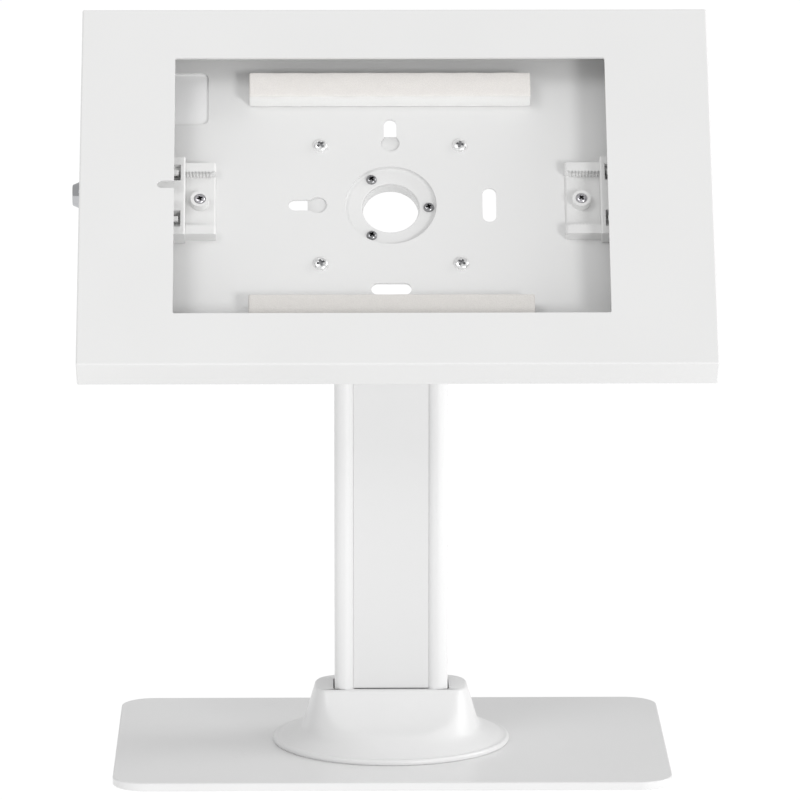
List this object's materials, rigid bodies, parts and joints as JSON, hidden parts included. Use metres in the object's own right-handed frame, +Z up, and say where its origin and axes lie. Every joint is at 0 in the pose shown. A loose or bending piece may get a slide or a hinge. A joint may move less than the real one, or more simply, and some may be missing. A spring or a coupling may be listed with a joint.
{
  "type": "tabletop tablet holder",
  "caption": "Lockable sheet-metal tablet enclosure with a windowed hinged cover, on a tilting and swivelling head, a cable column and a flat steel base plate.",
  "frame": {"origin": "on the table under the middle of the base plate", "axes": "+Z up, +X to the user's right, the user looks along +Y at the tilted face"},
  "size_m": [0.3418, 0.204, 0.3962],
  "materials": {
    "white_steel": "satin white powder coat",
    "white_column": "white powder coat on extruded aluminium",
    "white_plastic": "moulded white, fine satin grain",
    "clamp_plastic": "moulded white, satin",
    "nylon": "natural nylon",
    "foam": "off-white closed-cell foam",
    "rubber": "dark, matte",
    "zinc_steel": "bright zinc plate",
    "white_screws": "white painted heads",
    "dark_screws": "black oxide",
    "chrome": "polished"
  },
  "bodies": {
    "stand": {"base_plate": "white_steel", "feet": "rubber", "base_cover": "white_plastic", "column": "white_column", "column_screws": "zinc_steel", "cable_cover": "white_plastic", "fork": "white_steel", "fork_screws": "zinc_steel", "tilt_bolt": "zinc_steel", "tilt_nut": "zinc_steel", "nylon_washers": "nylon", "steel_washers": "zinc_steel"},
    "tilt_head": {"tilt_bracket": "white_steel", "stop_pins": "zinc_steel", "swivel_washer": "nylon"},
    "enclosure": {"swivel_hub": "zinc_steel", "retaining_ring": "zinc_steel", "hub_screws": "dark_screws", "adapter_plate": "white_steel", "adapter_screws": "white_screws", "adapter_nuts": "zinc_steel", "rear_tray": "white_steel", "camera_blank": "white_steel", "camera_blank_screws": "zinc_steel", "foam_bar_top": "foam", "foam_bar_bottom": "foam", "clamp_track_right": "clamp_plastic", "clamp_track_left": "clamp_plastic", "clamp_screws": "dark_screws", "clamp_nuts": "zinc_steel", "lock_keeper": "zinc_steel", "hinge_leaf_rear": "zinc_steel", "hinge_pin": "zinc_steel"},
    "front_cover": {"front_cover": "white_steel", "hinge_leaf_front": "zinc_steel", "lock_body": "chrome", "lock_nut": "zinc_steel"},
    "lock_core": {"lock_core": "chrome", "lock_cam": "zinc_steel", "cam_screw": "zinc_steel"},
    "jaw_right": {"jaw_right": "clamp_plastic"},
    "jaw_left": {"jaw_left": "clamp_plastic"}
  },
  "joints": [
    {"name": "head_tilt", "type": "hinge", "parent": "stand", "child": "tilt_head", "pos_m": [0, 0, 0.238], "axis": [-1, 0, 0], "range_deg": [-41, 44]},
    {"name": "head_swivel", "type": "hinge", "parent": "tilt_head", "child": "enclosure", "pos_m": [0, 0.00551, 0.29814], "axis": [0, -0.7547, 0.6561], "range_deg": [-90, 90]},
    {"name": "cover_hinge", "type": "hinge", "parent": "enclosure", "child": "front_cover", "pos_m": [0.16695, 0.00324, 0.30011], "axis": [0, 0.6561, 0.7547], "range_deg": [0, 95]},
    {"name": "lock_turn", "type": "hinge", "parent": "front_cover", "child": "lock_core", "pos_m": [-0.16, -0.00212, 0.30477], "axis": [1, 0, 0], "range_deg": [0, 90]},
    {"name": "jaw_right_slide", "type": "slide", "parent": "enclosure", "child": "jaw_right", "axis": [1, 0, 0], "range_m": [-0.004, 0.01]},
    {"name": "jaw_left_slide", "type": "slide", "parent": "enclosure", "child": "jaw_left", "axis": [-1, 0, 0], "range_m": [-0.002, 0.012]}
  ]
}
